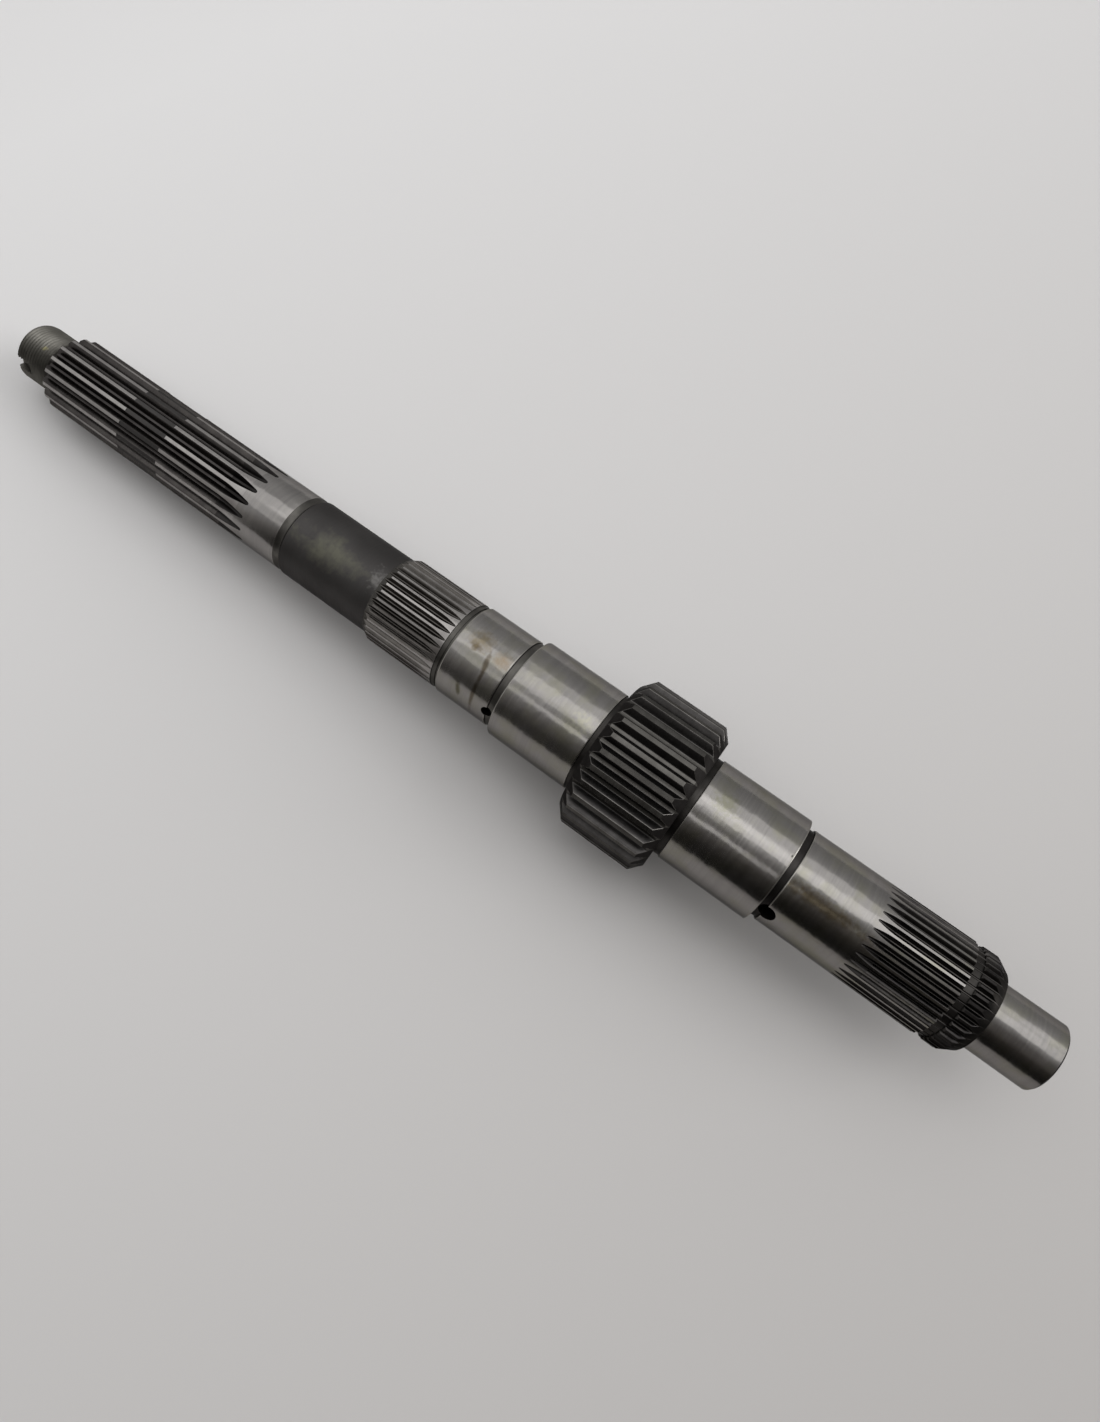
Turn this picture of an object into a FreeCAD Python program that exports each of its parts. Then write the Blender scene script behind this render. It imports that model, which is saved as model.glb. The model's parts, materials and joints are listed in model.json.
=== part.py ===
import FreeCAD, Part
import math
import os
import Sketcher

# Transfer case output shaft: one machined steel piece, all sizes in millimetres.
# It is built with its turning axis along X, from the thread end at X = 0 to the pilot end. It is then
# laid down the way it rests on a floor, on two tips of its toothed hub and the start of its long spline.

# Driving sizes. Lengths follow the shaft from the thread end to the pilot end. Depths and heights are
# measured in the radius. Angles are in degrees about the turning axis, from straight up towards +Y.
SIZES = [
    ("thread_diameter", 26.0),
    ("thread_length", 22.7),
    ("thread_chamfer", 1.4),
    ("slot_width", 5.0),
    ("slot_depth", 3.3),
    ("slot_cutter_diameter", 32.0),
    ("centre_drill_diameter", 3.2),
    ("centre_drill_length", 7.5),
    ("centre_cone_diameter", 7.5),
    ("front_diameter", 35.0),
    ("long_spline_teeth", 18),
    ("long_spline_phase", 5.85),
    ("long_spline_height", 2.6),
    ("long_spline_land", 1.6),
    ("long_spline_floor", 1.1),
    ("long_hob_diameter", 88.0),
    ("front_land_length", 45.6),
    ("relief_band_length", 23.1),
    ("relief_band_depth", 0.2),
    ("rear_land_length", 34.2),
    ("journal_one_length", 32.9),
    ("neck_one_depth", 0.6),
    ("neck_one_bevel", 1.8),
    ("neck_one_floor", 1.3),
    ("plain_length", 45.8),
    ("plain_diameter", 35.7),
    ("plain_edge", 0.5),
    ("middle_lead_length", 2.9),
    ("middle_lead_depth", 1.6),
    ("middle_spline_diameter", 39.2),
    ("middle_spline_teeth", 36),
    ("middle_spline_phase", 4.55),
    ("middle_spline_height", 1.3),
    ("middle_spline_land", 0.97),
    ("middle_spline_floor", 0.5),
    ("middle_spline_length", 28.2),
    ("middle_runout_length", 8.0),
    ("band_length", 1.8),
    ("band_depth", 0.35),
    ("neck_two_length", 1.1),
    ("neck_two_depth", 1.1),
    ("journal_two_length", 24.5),
    ("journal_two_diameter", 40.0),
    ("neck_three_length", 3.3),
    ("neck_three_depth", 0.5),
    ("journal_three_length", 37.3),
    ("journal_three_diameter", 43.9),
    ("neck_four_length", 2.7),
    ("neck_four_depth", 0.55),
    ("hub_length", 39.2),
    ("hub_diameter", 66.2),
    ("hub_teeth", 30),
    ("hub_phase", 6.0),
    ("hub_height", 3.1),
    ("hub_land", 1.9),
    ("hub_floor", 1.6),
    ("hub_chamfer_length", 4.1),
    ("hub_chamfer_depth", 4.8),
    ("neck_five_length", 2.4),
    ("neck_five_depth", 0.6),
    ("journal_four_length", 38.9),
    ("journal_four_diameter", 44.6),
    ("neck_six_length", 3.0),
    ("neck_six_depth", 0.8),
    ("journal_five_length", 40.0),
    ("journal_five_diameter", 40.0),
    ("end_spline_teeth", 36),
    ("end_spline_phase", 6.98),
    ("end_spline_height", 1.4),
    ("end_spline_land", 0.98),
    ("end_spline_floor", 0.5),
    ("end_spline_length", 26.8),
    ("fine_hob_diameter", 48.0),
    ("ring_groove_length", 3.4),
    ("ring_groove_depth", 1.15),
    ("tail_length", 5.3),
    ("end_taper_length", 4.9),
    ("end_taper_depth", 2.9),
    ("pilot_length", 26.9),
    ("pilot_diameter", 27.3),
    ("pilot_chamfer", 0.7),
    ("journal_edge", 0.4),
    ("gallery_diameter", 9.0),
    ("gallery_overrun", 9.0),
    ("gallery_cone_diameter", 14.0),
    ("oil_side_angle", -65.0),
    ("oil_hole_one_diameter", 4.6),
    ("oil_hole_one_offset", 0.2),
    ("oil_hole_two_diameter", 7.0),
    ("oil_hole_two_offset", 1.1),
]

# How far each cutter reaches past the metal it cuts.
CLEARANCE = 1.5
# How far a hob is swung to lift clear of the shaft, in degrees.
HOB_SWING = 40
DRILL_POINT_ANGLE = 118
CENTRE_CONE_ANGLE = 60

doc = FreeCAD.newDocument("OutputShaft")
sheet = doc.addObject("Spreadsheet::Sheet", "Sizes")
for row, (alias, value) in enumerate(SIZES, start=1):
    sheet.set("A%d" % row, alias)
    sheet.set("B%d" % row, str(value))
    sheet.setAlias("B%d" % row, alias)
doc.recompute()


class Measure:
    # A number together with the expression on the driving sizes that gives it.
    def __init__(self, value, text):
        self.value = float(value)
        self.text = text

    def __add__(self, other):
        other = measure(other)
        return Measure(self.value + other.value, "(%s + %s)" % (self.text, other.text))

    def __sub__(self, other):
        other = measure(other)
        return Measure(self.value - other.value, "(%s - %s)" % (self.text, other.text))

    def __mul__(self, number):
        return Measure(self.value * number, "(%s * %s)" % (self.text, number))

    def __truediv__(self, number):
        return Measure(self.value / number, "(%s / %s)" % (self.text, number))


def measure(amount):
    if isinstance(amount, Measure):
        return amount
    return Measure(amount, str(amount))


def size(alias):
    return Measure(sheet.get(alias), "Sizes.%s" % alias)


# Stations: where each length starts along the axis, each the sum of the lengths before it.
spline_start = size("thread_length")
relief_start = spline_start + size("front_land_length")
relief_end = relief_start + size("relief_band_length")
long_hob_station = relief_end + size("rear_land_length")
journal_one_end = long_hob_station + size("journal_one_length")
neck_one_start = journal_one_end + size("neck_one_bevel")
plain_start = neck_one_start + size("neck_one_floor")
middle_start = plain_start + size("plain_length")
middle_hob_station = middle_start + size("middle_spline_length")
middle_end = middle_hob_station + size("middle_runout_length")
band_end = middle_end + size("band_length")
journal_two_start = band_end + size("neck_two_length")
journal_two_end = journal_two_start + size("journal_two_length")
journal_three_start = journal_two_end + size("neck_three_length")
journal_three_end = journal_three_start + size("journal_three_length")
hub_start = journal_three_end + size("neck_four_length")
hub_end = hub_start + size("hub_length")
journal_four_start = hub_end + size("neck_five_length")
journal_four_end = journal_four_start + size("journal_four_length")
journal_five_start = journal_four_end + size("neck_six_length")
end_hob_station = journal_five_start + size("journal_five_length")
ring_groove_start = end_hob_station + size("end_spline_length")
ring_groove_end = ring_groove_start + size("ring_groove_length")
taper_start = ring_groove_end + size("tail_length")
pilot_start = taper_start + size("end_taper_length")
shaft_end = pilot_start + size("pilot_length")

# Radii used more than once.
zero = measure(0)
thread_radius = size("thread_diameter") / 2
front_radius = size("front_diameter") / 2
middle_radius = size("middle_spline_diameter") / 2
two_radius = size("journal_two_diameter") / 2
three_radius = size("journal_three_diameter") / 2
hub_radius = size("hub_diameter") / 2
four_radius = size("journal_four_diameter") / 2
five_radius = size("journal_five_diameter") / 2
pilot_radius = size("pilot_diameter") / 2
gallery_radius = size("gallery_diameter") / 2

body = doc.addObject("PartDesign::Body", "OutputShaft")
body.Label = "output_shaft"


def origin_part(role):
    for part in body.Origin.OriginFeatures:
        if part.Role == role:
            return part
    raise RuntimeError("no origin feature %s" % role)


def new_sketch(name, plane, shift, turn_axis, turn):
    # A sketch on one of the body's planes, shifted along the plane's normal and turned about turn_axis.
    sketch = body.newObject("Sketcher::SketchObject", name)
    sketch.AttachmentSupport = [(origin_part(plane), "")]
    sketch.MapMode = "FlatFace"
    rotation = FreeCAD.Rotation(turn_axis, turn.value)
    sketch.AttachmentOffset = FreeCAD.Placement(FreeCAD.Vector(0, 0, shift.value), rotation)
    sketch.setExpression("AttachmentOffset.Base.z", shift.text)
    if turn.value != 0:
        sketch.setExpression("AttachmentOffset.Rotation.Angle", turn.text)
    sketch.Visibility = False
    return sketch


def tie(sketch, kind, *where):
    return sketch.addConstraint(Sketcher.Constraint(kind, *where))


def drive(sketch, kind, where, amount):
    # A sized constraint that follows the driving sizes.
    index = tie(sketch, kind, *where, amount.value)
    sketch.setExpression("Constraints[%d]" % index, amount.text)


def outline(sketch, points):
    # A closed outline of straight lines, each corner held by its two distances from the origin.
    corners = [FreeCAD.Vector(along.value, out.value, 0) for along, out in points]
    count = len(corners)
    for index in range(count):
        sketch.addGeometry(Part.LineSegment(corners[index], corners[(index + 1) % count]), False)
    for index in range(count):
        tie(sketch, "Coincident", index, 2, (index + 1) % count, 1)
    for index, (along, out) in enumerate(points):
        if along.value == 0:
            tie(sketch, "PointOnObject", index, 1, -2)
        else:
            drive(sketch, "DistanceX", (-1, 1, index, 1), along)
        if out.value == 0:
            tie(sketch, "PointOnObject", index, 1, -1)
        else:
            drive(sketch, "DistanceY", (-1, 1, index, 1), out)


def finish_feature(feature, grows):
    # Takes the feature as the body's result once its volume has changed the right way.
    global solid_volume
    body.Tip = feature
    doc.recompute()
    volume = body.Shape.Volume
    if (volume > solid_volume) != grows:
        raise RuntimeError("%s does not change the solid as it should" % feature.Name)
    print("%-22s %9.1f mm3" % (feature.Name, volume - solid_volume))
    solid_volume = volume


def cut_round(name, points):
    # Turns an outline about the shaft's axis and takes it away.
    sketch = new_sketch(name + "Outline", "XZ_Plane", zero, FreeCAD.Vector(0, 0, 1), zero)
    outline(sketch, points)
    groove = body.newObject("PartDesign::Groove", name)
    groove.Profile = sketch
    groove.ReferenceAxis = (sketch, ["H_Axis"])
    groove.Angle = 360.0
    finish_feature(groove, False)


solid_volume = 0.0

# The turned blank: one half outline, from the thread end to the pilot end.


def cylinder(start, end, outer):
    return [(start, outer), (end, outer)]


def journal(start, end, outer):
    # A ground cylinder with both of its edges broken.
    edge = size("journal_edge")
    low = outer - edge
    return [(start, low), (start + edge, outer), (end - edge, outer), (end, low)]


thread_edge = size("thread_chamfer")
plain_edge = size("plain_edge")
plain_radius = size("plain_diameter") / 2
neck_one_radius = front_radius - size("neck_one_depth")
journal_edge = size("journal_edge")
pilot_edge = size("pilot_chamfer")
hub_face_radius = hub_radius - size("hub_chamfer_depth")

blank = [(zero, zero), (zero, thread_radius - thread_edge)]
blank += cylinder(thread_edge, spline_start, thread_radius)
blank += cylinder(spline_start, relief_start, front_radius)
blank += cylinder(relief_start, relief_end, front_radius - size("relief_band_depth"))
blank += cylinder(relief_end, journal_one_end, front_radius)
blank += cylinder(neck_one_start, plain_start, neck_one_radius)
blank += [(plain_start, plain_radius - plain_edge), (plain_start + plain_edge, plain_radius)]
blank += [(middle_start, plain_radius), (middle_start, middle_radius - size("middle_lead_depth"))]
blank += cylinder(middle_start + size("middle_lead_length"), middle_end, middle_radius)
blank += cylinder(middle_end, band_end, middle_radius - size("band_depth"))
blank += cylinder(band_end, journal_two_start, two_radius - size("neck_two_depth"))
blank += journal(journal_two_start, journal_two_end, two_radius)
blank += cylinder(journal_two_end, journal_three_start, two_radius - size("neck_three_depth"))
blank += journal(journal_three_start, journal_three_end, three_radius)
blank += cylinder(journal_three_end, hub_start, three_radius - size("neck_four_depth"))
blank += [(hub_start, hub_face_radius)]
blank += [(hub_start + size("hub_chamfer_length"), hub_radius)]
blank += [(hub_end - size("hub_chamfer_length"), hub_radius)]
blank += [(hub_end, hub_face_radius)]
blank += cylinder(hub_end, journal_four_start, four_radius - size("neck_five_depth"))
blank += journal(journal_four_start, journal_four_end, four_radius)
blank += cylinder(journal_four_end, journal_five_start, five_radius - size("neck_six_depth"))
blank += [(journal_five_start, five_radius - journal_edge)]
blank += cylinder(journal_five_start + journal_edge, ring_groove_start, five_radius)
blank += cylinder(ring_groove_start, ring_groove_end, five_radius - size("ring_groove_depth"))
blank += cylinder(ring_groove_end, taper_start, five_radius)
blank += [(pilot_start, five_radius - size("end_taper_depth"))]
blank += cylinder(pilot_start, shaft_end - pilot_edge, pilot_radius)
blank += [(shaft_end, pilot_radius - pilot_edge), (shaft_end, zero)]

blank_sketch = new_sketch("BlankOutline", "XZ_Plane", zero, FreeCAD.Vector(0, 0, 1), zero)
outline(blank_sketch, blank)
turned = body.newObject("PartDesign::Revolution", "TurnedBlank")
turned.Profile = blank_sketch
turned.ReferenceAxis = (blank_sketch, ["H_Axis"])
turned.Angle = 360.0
finish_feature(turned, True)


# Tooth spaces. Each space is drawn as its section, pushed along the shaft for the full depth length and
# swung about the hob's axis for the run-out, where the hob lifted out of the shaft.


def space_section(name, station, teeth, outer, hob_radius):
    # Flat floor, straight flanks and risers past the tips, drawn about the sketch's upright line.
    count = size(teeth + "_teeth")
    half_pitch = Measure(180 / count.value, "(180 / %s)" % count.text)
    turn = half_pitch - size(teeth + "_phase")
    sketch = new_sketch(name, "YZ_Plane", station, FreeCAD.Vector(0, 0, 1), turn)

    root = outer - size(teeth + "_height")
    floor = size(teeth + "_floor")
    land = size(teeth + "_land")
    half_gap_value = (2 * math.pi * outer.value / count.value - land.value) / 2
    half_gap = Measure(half_gap_value, "((2 * pi * %s / %s - %s) / 2)" % (outer.text, count.text, land.text))
    rim_value = math.sqrt(outer.value ** 2 - half_gap.value ** 2)
    rim = Measure(rim_value, "sqrt(%s ^ 2 - %s ^ 2)" % (outer.text, half_gap.text))
    top = outer + CLEARANCE

    def left(point):
        return FreeCAD.Vector(-point.x, point.y, 0)

    low = FreeCAD.Vector(floor.value / 2, root.value, 0)
    high = FreeCAD.Vector(half_gap.value, rim.value, 0)
    corner = FreeCAD.Vector(half_gap.value, top.value, 0)
    points = [left(low), low, high, corner, left(corner), left(high)]
    for index in range(len(points)):
        sketch.addGeometry(Part.LineSegment(points[index], points[(index + 1) % len(points)]), False)
    for index in range(len(points)):
        tie(sketch, "Coincident", index, 2, (index + 1) % len(points), 1)
    tie(sketch, "Vertical", 2)
    tie(sketch, "Vertical", 4)
    tie(sketch, "Symmetric", 0, 1, 0, 2, -2)
    tie(sketch, "Symmetric", 3, 1, 3, 2, -2)
    drive(sketch, "DistanceX", (0, 1, 0, 2), floor)
    drive(sketch, "DistanceX", (-1, 1, 2, 1), half_gap)
    drive(sketch, "DistanceY", (-1, 1, 0, 2), root)
    drive(sketch, "DistanceY", (-1, 1, 2, 1), rim)
    drive(sketch, "DistanceY", (-1, 1, 4, 2), rim)
    drive(sketch, "DistanceY", (-1, 1, 3, 1), top)
    if hob_radius:
        hob_height = root + hob_radius
        hob_end = FreeCAD.Vector(CLEARANCE, hob_height.value, 0)
        sketch.addGeometry(Part.LineSegment(left(hob_end), hob_end), True)
        tie(sketch, "Symmetric", 6, 1, 6, 2, -2)
        drive(sketch, "DistanceX", (-1, 1, 6, 2), measure(CLEARANCE))
        drive(sketch, "DistanceY", (-1, 1, 6, 2), hob_height)
    return sketch


def cut_spaces(name, station, teeth, outer, length, ahead, hob_radius=None):
    # One space, then its copies all round. The full depth length runs ahead of the sketch or behind it.
    sketch = space_section(name + "Section", station, teeth, outer, hob_radius)
    straight = body.newObject("PartDesign::Pocket", name + "Straight")
    straight.Profile = sketch
    straight.Reversed = ahead
    straight.Length = length.value
    straight.setExpression("Length", length.text)
    finish_feature(straight, False)
    copied = [straight]
    if hob_radius:
        runout = body.newObject("PartDesign::Groove", name + "RunOut")
        runout.Profile = sketch
        runout.ReferenceAxis = (sketch, ["Axis0"])
        runout.Angle = HOB_SWING
        runout.Reversed = not ahead
        finish_feature(runout, False)
        copied.append(runout)
    ring = body.newObject("PartDesign::PolarPattern", name + "Ring")
    ring.Originals = copied
    ring.Axis = (origin_part("X_Axis"), [""])
    ring.Angle = 360.0
    ring.Occurrences = int(size(teeth + "_teeth").value)
    ring.setExpression("Occurrences", size(teeth + "_teeth").text)
    finish_feature(ring, False)


long_hob = size("long_hob_diameter") / 2
fine_hob = size("fine_hob_diameter") / 2
long_reach = long_hob_station - spline_start + CLEARANCE
cut_spaces("LongSpline", long_hob_station, "long_spline", front_radius, long_reach, False, long_hob)
middle_reach = middle_hob_station - middle_start + CLEARANCE
cut_spaces("MiddleSpline", middle_hob_station, "middle_spline", middle_radius, middle_reach, False, fine_hob)
hub_reach = size("hub_length") + 2 * CLEARANCE
cut_spaces("Hub", hub_end + CLEARANCE, "hub", hub_radius, hub_reach, False)
end_reach = pilot_start - end_hob_station + CLEARANCE
cut_spaces("EndSpline", end_hob_station, "end_spline", five_radius, end_reach, True, fine_hob)

# Staking slot in the thread, cut by a disc that stood over the end face.
side_turn = zero - size("oil_side_angle")
slot_sketch = new_sketch("SlotSection", "XZ_Plane", zero, FreeCAD.Vector(1, 0, 0), side_turn)
cutter_radius = size("slot_cutter_diameter") / 2
cutter_height = thread_radius - size("slot_depth") + cutter_radius
cutter_centre = FreeCAD.Vector(0, cutter_height.value, 0)
slot_sketch.addGeometry(Part.Circle(cutter_centre, FreeCAD.Vector(0, 0, 1), cutter_radius.value), False)
tie(slot_sketch, "PointOnObject", 0, 3, -2)
drive(slot_sketch, "DistanceY", (-1, 1, 0, 3), cutter_height)
drive(slot_sketch, "Radius", (0,), cutter_radius)
slot = body.newObject("PartDesign::Pocket", "StakingSlot")
slot.Profile = slot_sketch
slot.Midplane = True
slot.Length = size("slot_width").value
slot.setExpression("Length", "Sizes.slot_width")
finish_feature(slot, False)

# Centre hole in the thread end, and the oil gallery with its lead-in from the pilot end.
drill_radius = size("centre_drill_diameter") / 2
cone_radius = size("centre_cone_diameter") / 2
mouth_radius = size("gallery_cone_diameter") / 2
cone_slope = 1 / math.tan(math.radians(CENTRE_CONE_ANGLE / 2))
point_slope = 1 / math.tan(math.radians(DRILL_POINT_ANGLE / 2))
drill_end = size("centre_drill_length")
cone_end = (cone_radius - drill_radius) * cone_slope
cut_round("CentreHole", [
    (zero, zero),
    (zero, cone_radius),
    (cone_end, drill_radius),
    (drill_end, drill_radius),
    (drill_end + drill_radius * point_slope, zero),
])
hole_one_station = journal_two_end + size("oil_hole_one_offset")
hole_two_station = journal_five_start + size("oil_hole_two_offset")
gallery_end = hole_one_station - size("gallery_overrun")
mouth_end = shaft_end - (mouth_radius - gallery_radius) * cone_slope
cut_round("OilGallery", [
    (shaft_end, zero),
    (shaft_end, mouth_radius),
    (mouth_end, gallery_radius),
    (gallery_end, gallery_radius),
    (gallery_end - gallery_radius * point_slope, zero),
])


def oil_hole(name, station, alias, reach):
    # A drilled hole from the gallery out through one side of the shaft.
    sketch = new_sketch(name + "Section", "XY_Plane", zero, FreeCAD.Vector(1, 0, 0), side_turn)
    hole_radius = size(alias) / 2
    centre = FreeCAD.Vector(station.value, 0, 0)
    sketch.addGeometry(Part.Circle(centre, FreeCAD.Vector(0, 0, 1), hole_radius.value), False)
    tie(sketch, "PointOnObject", 0, 3, -1)
    drive(sketch, "DistanceX", (-1, 1, 0, 3), station)
    drive(sketch, "Radius", (0,), hole_radius)
    hole = body.newObject("PartDesign::Pocket", name)
    hole.Profile = sketch
    hole.Reversed = True
    hole.Length = reach.value
    hole.setExpression("Length", reach.text)
    finish_feature(hole, False)


oil_hole("OilHoleOne", hole_one_station, "oil_hole_one_diameter", two_radius + CLEARANCE)
oil_hole("OilHoleTwo", hole_two_station, "oil_hole_two_diameter", five_radius + CLEARANCE)


# Rest pose: the shaft lies on the hub's tips and on whatever meets the floor first towards the thread.


def low_reach(outer, teeth):
    # How far below the axis a ring of teeth reaches, from the land edge nearest to straight down.
    count = size(teeth + "_teeth").value
    pitch = 360.0 / count
    off = (180.0 - size(teeth + "_phase").value) % pitch
    off = min(off, pitch - off)
    half_land = math.degrees(size(teeth + "_land").value / 2 / outer.value)
    return outer.value * math.cos(math.radians(max(off - half_land, 0.0)))


hub_contact = (hub_start + size("hub_chamfer_length")).value
hub_reach_down = low_reach(hub_radius, "hub")
supports = [
    (thread_edge.value, thread_radius.value),
    (spline_start.value, low_reach(front_radius, "long_spline")),
    (journal_one_end.value, front_radius.value),
    (middle_hob_station.value, middle_radius.value),
    ((journal_two_end - journal_edge).value, two_radius.value),
]
rest_tilt = min(math.atan2(hub_reach_down - reach, hub_contact - along) for along, reach in supports)
tilt_degrees = math.degrees(rest_tilt)
turn_down = FreeCAD.Rotation(FreeCAD.Vector(0, 1, 0), -tilt_degrees)
body.Placement = FreeCAD.Placement(FreeCAD.Vector(0, 0, 0), turn_down)
doc.recompute()
box = body.Shape.optimalBoundingBox(False, False)
lift = hub_reach_down * math.cos(rest_tilt) - hub_contact * math.sin(rest_tilt)
shift = FreeCAD.Vector(-box.Center.x, -box.Center.y, lift)
body.Placement = FreeCAD.Placement(shift, turn_down)
doc.recompute()

for item in doc.Objects:
    if "Invalid" in item.State or "Error" in item.State:
        raise RuntimeError("%s is %s" % (item.Name, item.State))
if body.Shape.isNull() or not body.Shape.isValid() or len(body.Shape.Solids) != 1:
    raise RuntimeError("the shaft is not one valid solid")
solid = body.Shape.Solids[0]

os.makedirs("parts", exist_ok=True)
solid.exportStep("parts/output_shaft.step")
print("tilt %.4f degrees, axis start %.4f %.4f %.4f" % (tilt_degrees, shift.x, shift.y, shift.z))
print("volume %.0f mm3, mass centre %s" % (solid.Volume, solid.CenterOfMass))
print("box", solid.optimalBoundingBox(False, False))
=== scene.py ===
import json
import math

import bmesh
import bpy
import numpy as np
from mathutils import Matrix, Vector


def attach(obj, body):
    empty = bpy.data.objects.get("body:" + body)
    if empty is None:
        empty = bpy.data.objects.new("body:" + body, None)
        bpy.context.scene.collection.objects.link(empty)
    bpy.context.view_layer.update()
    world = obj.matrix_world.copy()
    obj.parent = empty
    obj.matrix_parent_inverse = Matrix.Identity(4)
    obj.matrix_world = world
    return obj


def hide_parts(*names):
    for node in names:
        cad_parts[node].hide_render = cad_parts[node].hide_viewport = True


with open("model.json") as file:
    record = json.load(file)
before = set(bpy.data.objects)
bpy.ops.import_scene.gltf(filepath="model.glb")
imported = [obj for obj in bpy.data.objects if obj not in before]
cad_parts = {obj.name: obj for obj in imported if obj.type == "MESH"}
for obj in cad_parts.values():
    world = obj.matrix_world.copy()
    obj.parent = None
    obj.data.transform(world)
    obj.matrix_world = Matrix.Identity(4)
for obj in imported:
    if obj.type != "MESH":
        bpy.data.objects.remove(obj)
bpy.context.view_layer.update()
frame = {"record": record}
mm = 0.001

# The shaft lies tilted on the floor. Its line comes from the record's mounts. Every station below is a
# distance along it from the thread end in millimetres, and every turn an angle in degrees, up towards +Y.
mounts = {mount["name"]: mount for mount in frame["record"]["mounts"]}
pilotStation = 491.3
along = Vector(mounts["pilot"]["axis"]).normalized()
across = Vector((0, 1, 0))
upward = along.cross(across)
shaftStart = Vector(mounts["pilot"]["pos_m"]) - along * pilotStation * mm
print("frame loaded, shaft starts at", [round(value, 5) for value in shaftStart])


def placePoints(station, turn, radius):
    turn = np.radians(turn)
    offset = np.outer(station, along)
    offset += np.outer(radius * np.cos(turn), upward)
    offset += np.outer(radius * np.sin(turn), across)
    return np.array(shaftStart) + mm * offset


class ShaftMesh:
    # Rings of points along the shaft, and the faces between them with the finish of each.
    def __init__(self):
        self.points = []
        self.faces = []
        self.finishes = []
        self.count = 0

    def addRing(self, station, turn, radius):
        turn = np.asarray(turn, float)
        size = len(turn)
        station = np.broadcast_to(np.asarray(station, float), size)
        radius = np.broadcast_to(np.asarray(radius, float), size)
        self.points.append(placePoints(station, turn, radius))
        self.count += size
        return self.count - size, turn

    def joinRings(self, ringA, ringB, finish):
        # Two rings with the same columns. finish is one name, or a name for each column.
        (a, turns), (b, _) = ringA, ringB
        size = len(turns)
        for i in range(size):
            j = (i + 1) % size
            self.faces.append((a + i, a + j, b + j, b + i))
        self.finishes += [finish] * size if isinstance(finish, str) else finish

    def zipRings(self, ringA, ringB, finish):
        # Two rings with different columns, joined by triangles in the order of their turns.
        (a, turnsA), (b, turnsB) = ringA, ringB
        orderA, orderB = np.argsort(turnsA % 360), np.argsort(turnsB % 360)
        sortedA, sortedB = (turnsA % 360)[orderA], (turnsB % 360)[orderB]
        sizeA, sizeB = len(orderA), len(orderB)
        i = j = 0
        while i < sizeA or j < sizeB:
            nextA = sortedA[(i + 1) % sizeA] + 360 * ((i + 1) // sizeA)
            nextB = sortedB[(j + 1) % sizeB] + 360 * ((j + 1) // sizeB)
            cornerA, cornerB = a + int(orderA[i % sizeA]), b + int(orderB[j % sizeB])
            if j >= sizeB or (i < sizeA and nextA <= nextB):
                i += 1
                self.faces.append((cornerA, a + int(orderA[i % sizeA]), cornerB))
            else:
                j += 1
                self.faces.append((cornerA, b + int(orderB[j % sizeB]), cornerB))
            self.finishes.append(finish)

    def closeRing(self, ring, station, finish):
        # A cone or disc from the ring to a point on the shaft's line.
        first, turns = ring
        tip, _ = self.addRing(station, [0.0], [0.0])
        size = len(turns)
        self.faces += [(first + i, first + (i + 1) % size, tip) for i in range(size)]
        self.finishes += [finish] * size

    def makeObject(self, name, finishOrder):
        mesh = bpy.data.meshes.new(name)
        mesh.from_pydata(np.concatenate(self.points).tolist(), [], self.faces)
        numbers = {finish: index for index, finish in enumerate(finishOrder)}
        mesh.polygons.foreach_set("material_index", [numbers[finish] for finish in self.finishes])
        work = bmesh.new()
        work.from_mesh(mesh)
        bmesh.ops.remove_doubles(work, verts=work.verts, dist=0.002 * mm)
        bmesh.ops.dissolve_degenerate(work, edges=work.edges, dist=0.001 * mm)
        bmesh.ops.recalc_face_normals(work, faces=work.faces)
        work.to_mesh(mesh)
        work.free()
        made = bpy.data.objects.new(name, mesh)
        bpy.context.scene.collection.objects.link(made)
        return made


# Splines. The hob leaves a flat floor with small corners and slightly bowed flanks, and where it lifts
# out at the end of its pass, every point of the space follows a circle about the hob's own axis.
longSpline = {
    "count": 18, "phase": 5.85, "tipRadius": 17.5, "height": 2.6, "land": 1.6, "floor": 1.1,
    "corner": 0.55, "bow": 0.1, "edge": 0.16, "hobRadius": 44.0, "hobStation": 125.6, "lifts": 1,
    "flankPoints": 6, "landPoints": 5,
}
middleSpline = {
    "count": 36, "phase": 4.55, "tipRadius": 19.6, "height": 1.3, "land": 0.97, "floor": 0.5,
    "corner": 0.3, "bow": 0.04, "edge": 0.1, "hobRadius": 24.0, "hobStation": 235.6, "lifts": 1,
    "flankPoints": 3, "landPoints": 3,
}
endSpline = dict(middleSpline, phase=6.98, tipRadius=20.0, height=1.4, land=0.98, hobStation=437.8, lifts=-1)
hubTeeth = {
    "count": 30, "phase": 6.0, "tipRadius": 33.1, "height": 3.1, "land": 1.9, "floor": 1.6,
    "corner": 0.5, "bow": 0.06, "edge": 0.14, "hobRadius": 0.0, "hobStation": 0.0, "lifts": 0,
    "flankPoints": 5, "landPoints": 4,
}


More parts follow.
